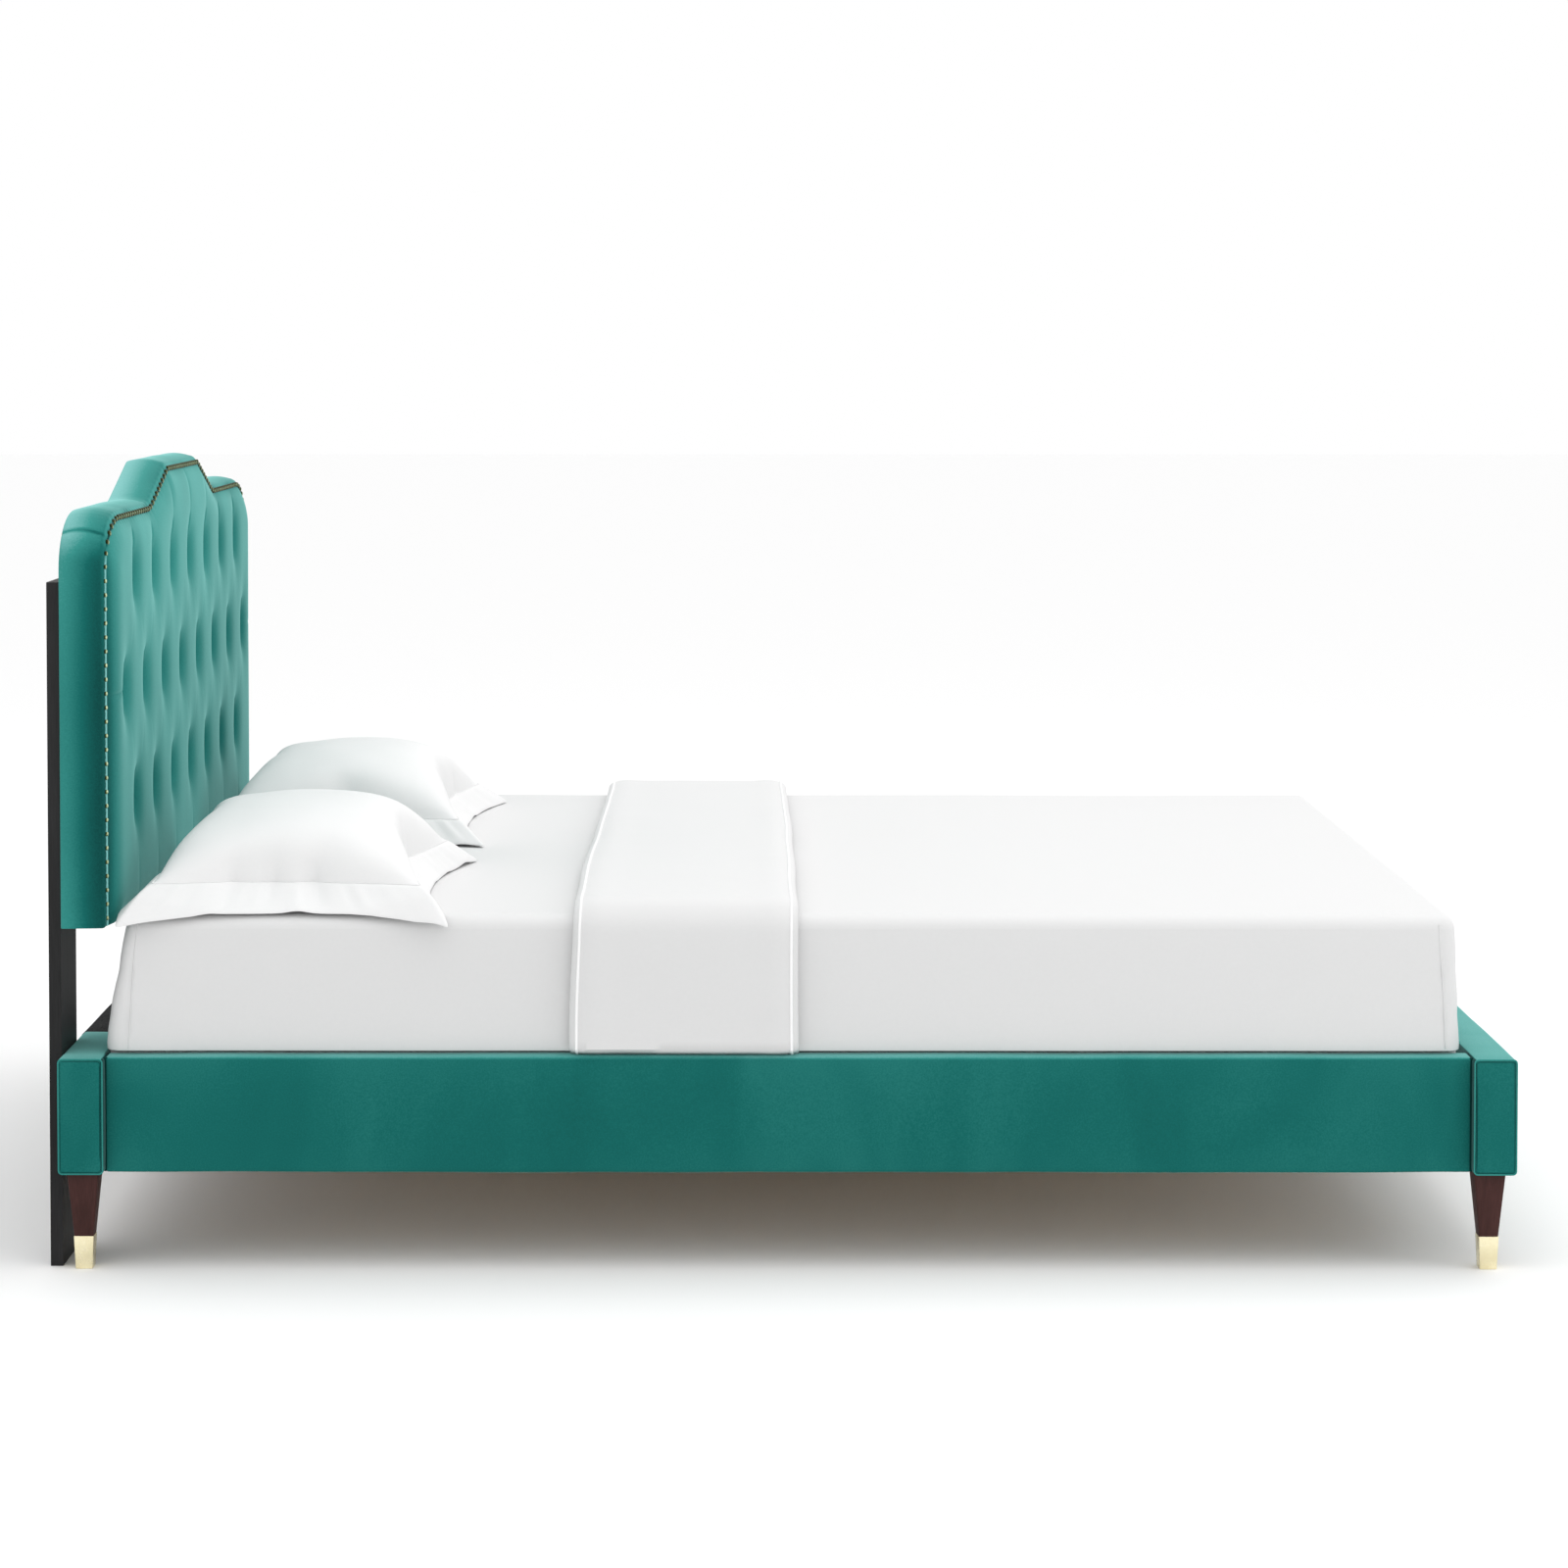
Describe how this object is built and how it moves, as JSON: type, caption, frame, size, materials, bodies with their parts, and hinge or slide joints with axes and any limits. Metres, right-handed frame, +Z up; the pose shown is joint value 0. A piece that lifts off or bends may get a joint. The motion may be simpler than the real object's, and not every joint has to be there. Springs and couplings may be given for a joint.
{
  "type": "upholstered headboard bed",
  "caption": "Upholstered platform bed with a diamond-tufted, nail-trimmed headboard, padded rails, tapered legs in brass ferrules, slatted base, mattress, pillows and a folded blanket.",
  "frame": {"origin": "on the floor under the middle of the bed", "axes": "+X from the head to the foot, +Z up, -Y the side called near"},
  "size_m": [2.187, 1.65, 1.187],
  "materials": {
    "velvet": "matte",
    "bed_linen": "matte",
    "mattress_cloth": "matte",
    "black_lining": "matte",
    "foam": "matte",
    "webbing": "matte",
    "plywood": "matte",
    "pine": "matte",
    "slat_wood": "matte",
    "black_wood": "satin",
    "dark_wood": "satin",
    "nail_brass": "satin",
    "ferrule_brass": "polished",
    "steel": "satin",
    "black_plastic": "matte"
  },
  "bodies": {
    "bed_frame": {"headboard_panel": "plywood", "headboard_frame": "pine", "head_rail_core": "pine", "foot_rail_core": "pine", "side_rail_near_core": "pine", "side_rail_far_core": "pine", "ledger_near": "pine", "ledger_far": "pine", "centre_beam": "pine", "centre_leg_head": "pine", "centre_leg_foot": "pine", "slat_1": "slat_wood", "slat_2": "slat_wood", "slat_3": "slat_wood", "slat_4": "slat_wood", "slat_5": "slat_wood", "slat_6": "slat_wood", "slat_7": "slat_wood", "slat_8": "slat_wood", "slat_9": "slat_wood", "slat_10": "slat_wood", "slat_11": "slat_wood", "slat_12": "slat_wood", "headboard_foam": "foam", "headboard_cover": "velvet", "headboard_buttons": "velvet", "head_rail_cover": "velvet", "foot_rail_cover": "velvet", "side_rail_near_cover": "velvet", "side_rail_far_cover": "velvet", "headboard_back_cloth": "black_lining", "head_rail_cloth": "black_lining", "headboard_nails": "nail_brass", "headboard_leg_near": "black_wood", "headboard_leg_far": "black_wood", "headboard_leg_bolts": "steel", "frame_bolts": "steel", "leg_bolts": "steel", "slat_screws": "steel", "bracket_head_near": "steel", "bracket_head_far": "steel", "bracket_foot_near": "steel", "bracket_foot_far": "steel", "beam_bracket_head": "steel", "beam_bracket_foot": "steel", "leg_head_near": "dark_wood", "leg_head_far": "dark_wood", "leg_foot_near": "dark_wood", "leg_foot_far": "dark_wood", "ferrule_head_near": "ferrule_brass", "ferrule_head_far": "ferrule_brass", "ferrule_foot_near": "ferrule_brass", "ferrule_foot_far": "ferrule_brass", "slat_straps": "webbing"},
    "mattress": {"mattress": "mattress_cloth"},
    "pillow_near": {"pillow_near": "bed_linen"},
    "pillow_far": {"pillow_far": "bed_linen"},
    "blanket": {"blanket": "bed_linen"},
    "levelling_foot_head": {"levelling_foot_head": "black_plastic"},
    "levelling_foot_foot": {"levelling_foot_foot": "black_plastic"}
  },
  "joints": [
    {"name": "mattress_lift", "type": "slide", "parent": "bed_frame", "child": "mattress", "axis": [0.0995, 0, 0.995], "range_m": [0, 0.3]},
    {"name": "pillow_near_lift", "type": "slide", "parent": "mattress", "child": "pillow_near", "axis": [0.0995, 0, 0.995], "range_m": [0, 0.2]},
    {"name": "pillow_far_lift", "type": "slide", "parent": "mattress", "child": "pillow_far", "axis": [0.0995, 0, 0.995], "range_m": [0, 0.2]},
    {"name": "blanket_lift", "type": "slide", "parent": "mattress", "child": "blanket", "axis": [0, 0, 1], "range_m": [0, 0.25]},
    {"name": "levelling_foot_head_screw", "type": "slide", "parent": "bed_frame", "child": "levelling_foot_head", "axis": [0, 0, 1], "range_m": [0, 0.01]},
    {"name": "levelling_foot_foot_screw", "type": "slide", "parent": "bed_frame", "child": "levelling_foot_foot", "axis": [0, 0, 1], "range_m": [0, 0.01]}
  ]
}
